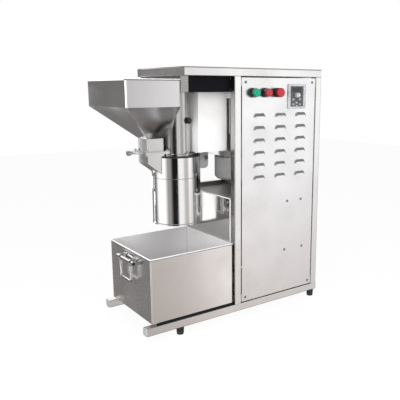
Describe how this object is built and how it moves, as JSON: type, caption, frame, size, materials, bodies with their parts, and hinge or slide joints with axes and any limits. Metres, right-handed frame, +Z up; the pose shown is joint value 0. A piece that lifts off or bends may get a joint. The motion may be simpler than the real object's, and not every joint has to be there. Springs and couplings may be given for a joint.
{
  "type": "pulverizer",
  "caption": "Free-standing vertical pulverizer: feed hopper, belt-driven grinding drum, sliding receiving bin and control cabinet with push buttons and speed dial.",
  "frame": {"origin": "middle of the overall box at floor level", "axes": "+Z up, -Y towards the operator at the control panel, +X from the hopper towards the cabinet"},
  "size_m": [0.726, 0.3272, 0.815],
  "materials": {
    "frame_steel": "satin",
    "panel_steel": "satin",
    "bin_steel": "brushed",
    "bright_steel": "polished",
    "machined_steel": "machined",
    "chrome_trim": "bright",
    "cast_iron": "machined",
    "motor_grey": "satin",
    "cap_grey": "matte",
    "black_rubber": "matte",
    "black_plastic": "satin",
    "keypad_dark": "satin",
    "green_cap": "gloss",
    "red_cap": "gloss"
  },
  "bodies": {
    "frame": {"base_rails": "frame_steel", "cross_tubes": "frame_steel", "posts": "frame_steel", "top_rails": "frame_steel", "rail_end_caps": "cap_grey", "rubber_feet": "black_rubber", "foot_screws": "chrome_trim", "top_cover": "frame_steel", "cabinet_floor": "frame_steel", "cable_gland": "black_plastic", "front_panel": "panel_steel", "cover_panels": "panel_steel", "panel_tabs": "panel_steel", "panel_screws": "chrome_trim", "partition_plate": "bright_steel", "motor_shelf": "machined_steel", "spindle_arm": "bright_steel", "spindle_housing": "bright_steel", "bearings": "machined_steel", "seals": "black_rubber", "housing_plug": "black_plastic", "belt_box": "bright_steel", "belt_cover": "black_plastic", "drive_belts": "black_rubber", "motor_body": "motor_grey", "motor_fan_cover": "black_plastic", "terminal_box": "motor_grey", "motor_cable": "black_rubber", "component_bolts": "chrome_trim", "drum_head": "bright_steel", "sieve_ring": "bright_steel", "drum_skirt": "bright_steel", "catch_studs": "machined_steel", "hopper": "bright_steel", "gate_strips": "bright_steel", "bin_glides": "black_plastic", "button_collars": "black_plastic", "button_rings": "chrome_trim", "keypad": "cap_grey", "keypad_face": "keypad_dark", "control_gear": "black_plastic"},
    "bin": {"bin_body": "bin_steel", "handle_plate": "chrome_trim"},
    "bin_handle": {"handle_bail": "chrome_trim"},
    "feed_gate": {"gate_slide": "bright_steel"},
    "start_button": {"start_cap": "green_cap"},
    "stop_button": {"stop_cap": "red_cap"},
    "emergency_button": {"emergency_cap": "red_cap"},
    "speed_dial": {"speed_knob": "chrome_trim"},
    "spindle": {"spindle_shaft": "machined_steel", "spindle_pulley": "cast_iron", "rotor_hub": "machined_steel", "rotor_blades": "machined_steel", "rotor_nut": "machined_steel"},
    "motor_rotor": {"motor_shaft": "machined_steel", "motor_pulley": "cast_iron", "cooling_fan": "black_plastic"},
    "front_catch": {"catch_front": "bright_steel"},
    "rear_catch": {"catch_rear": "bright_steel"},
    "left_catch": {"catch_left": "bright_steel"}
  },
  "joints": [
    {"name": "bin_slide", "type": "slide", "parent": "frame", "child": "bin", "axis": [-1, 0, 0], "range_m": [0, 0.33]},
    {"name": "bin_handle_swing", "type": "hinge", "parent": "bin", "child": "bin_handle", "pos_m": [-0.3195, 0.0114, 0.2265], "axis": [0, 1, 0], "range_deg": [0, 95]},
    {"name": "feed_gate_slide", "type": "slide", "parent": "frame", "child": "feed_gate", "axis": [-1, 0, 0], "range_m": [0, 0.055]},
    {"name": "start_button_press", "type": "slide", "parent": "frame", "child": "start_button", "axis": [0, 1, 0], "range_m": [0, 0.004], "stiffness_N_per_m": 600},
    {"name": "stop_button_press", "type": "slide", "parent": "frame", "child": "stop_button", "axis": [0, 1, 0], "range_m": [0, 0.004], "stiffness_N_per_m": 600},
    {"name": "emergency_button_press", "type": "slide", "parent": "frame", "child": "emergency_button", "axis": [0, 1, 0], "range_m": [0, 0.004], "stiffness_N_per_m": 600},
    {"name": "speed_dial_turn", "type": "hinge", "parent": "frame", "child": "speed_dial", "pos_m": [0.2455, -0.1386, 0.73], "axis": [0, 1, 0], "range_deg": [-140, 140]},
    {"name": "spindle_spin", "type": "hinge", "parent": "frame", "child": "spindle", "pos_m": [-0.1315, 0.0114, 0.5405], "axis": [0, 0, 1], "continuous": true},
    {"name": "motor_spin", "type": "hinge", "parent": "frame", "child": "motor_rotor", "pos_m": [0.1045, 0.0114, 0.5405], "axis": [0, 0, 1], "continuous": true},
    {"name": "front_catch_swing", "type": "hinge", "parent": "frame", "child": "front_catch", "pos_m": [-0.10102, -0.0604, 0.4345], "axis": [0.3907, -0.9205, 0], "range_deg": [0, 70]},
    {"name": "rear_catch_swing", "type": "hinge", "parent": "frame", "child": "rear_catch", "pos_m": [-0.08456, 0.07369, 0.4345], "axis": [0.6018, 0.7986, 0], "range_deg": [0, 70]},
    {"name": "left_catch_swing", "type": "hinge", "parent": "frame", "child": "left_catch", "pos_m": [-0.20892, 0.02091, 0.4345], "axis": [-0.9925, 0.1219, 0], "range_deg": [0, 70]}
  ],
  "couplings": [
    {"joint": "motor_spin", "follows": "spindle_spin", "ratio": 0.7849}
  ]
}
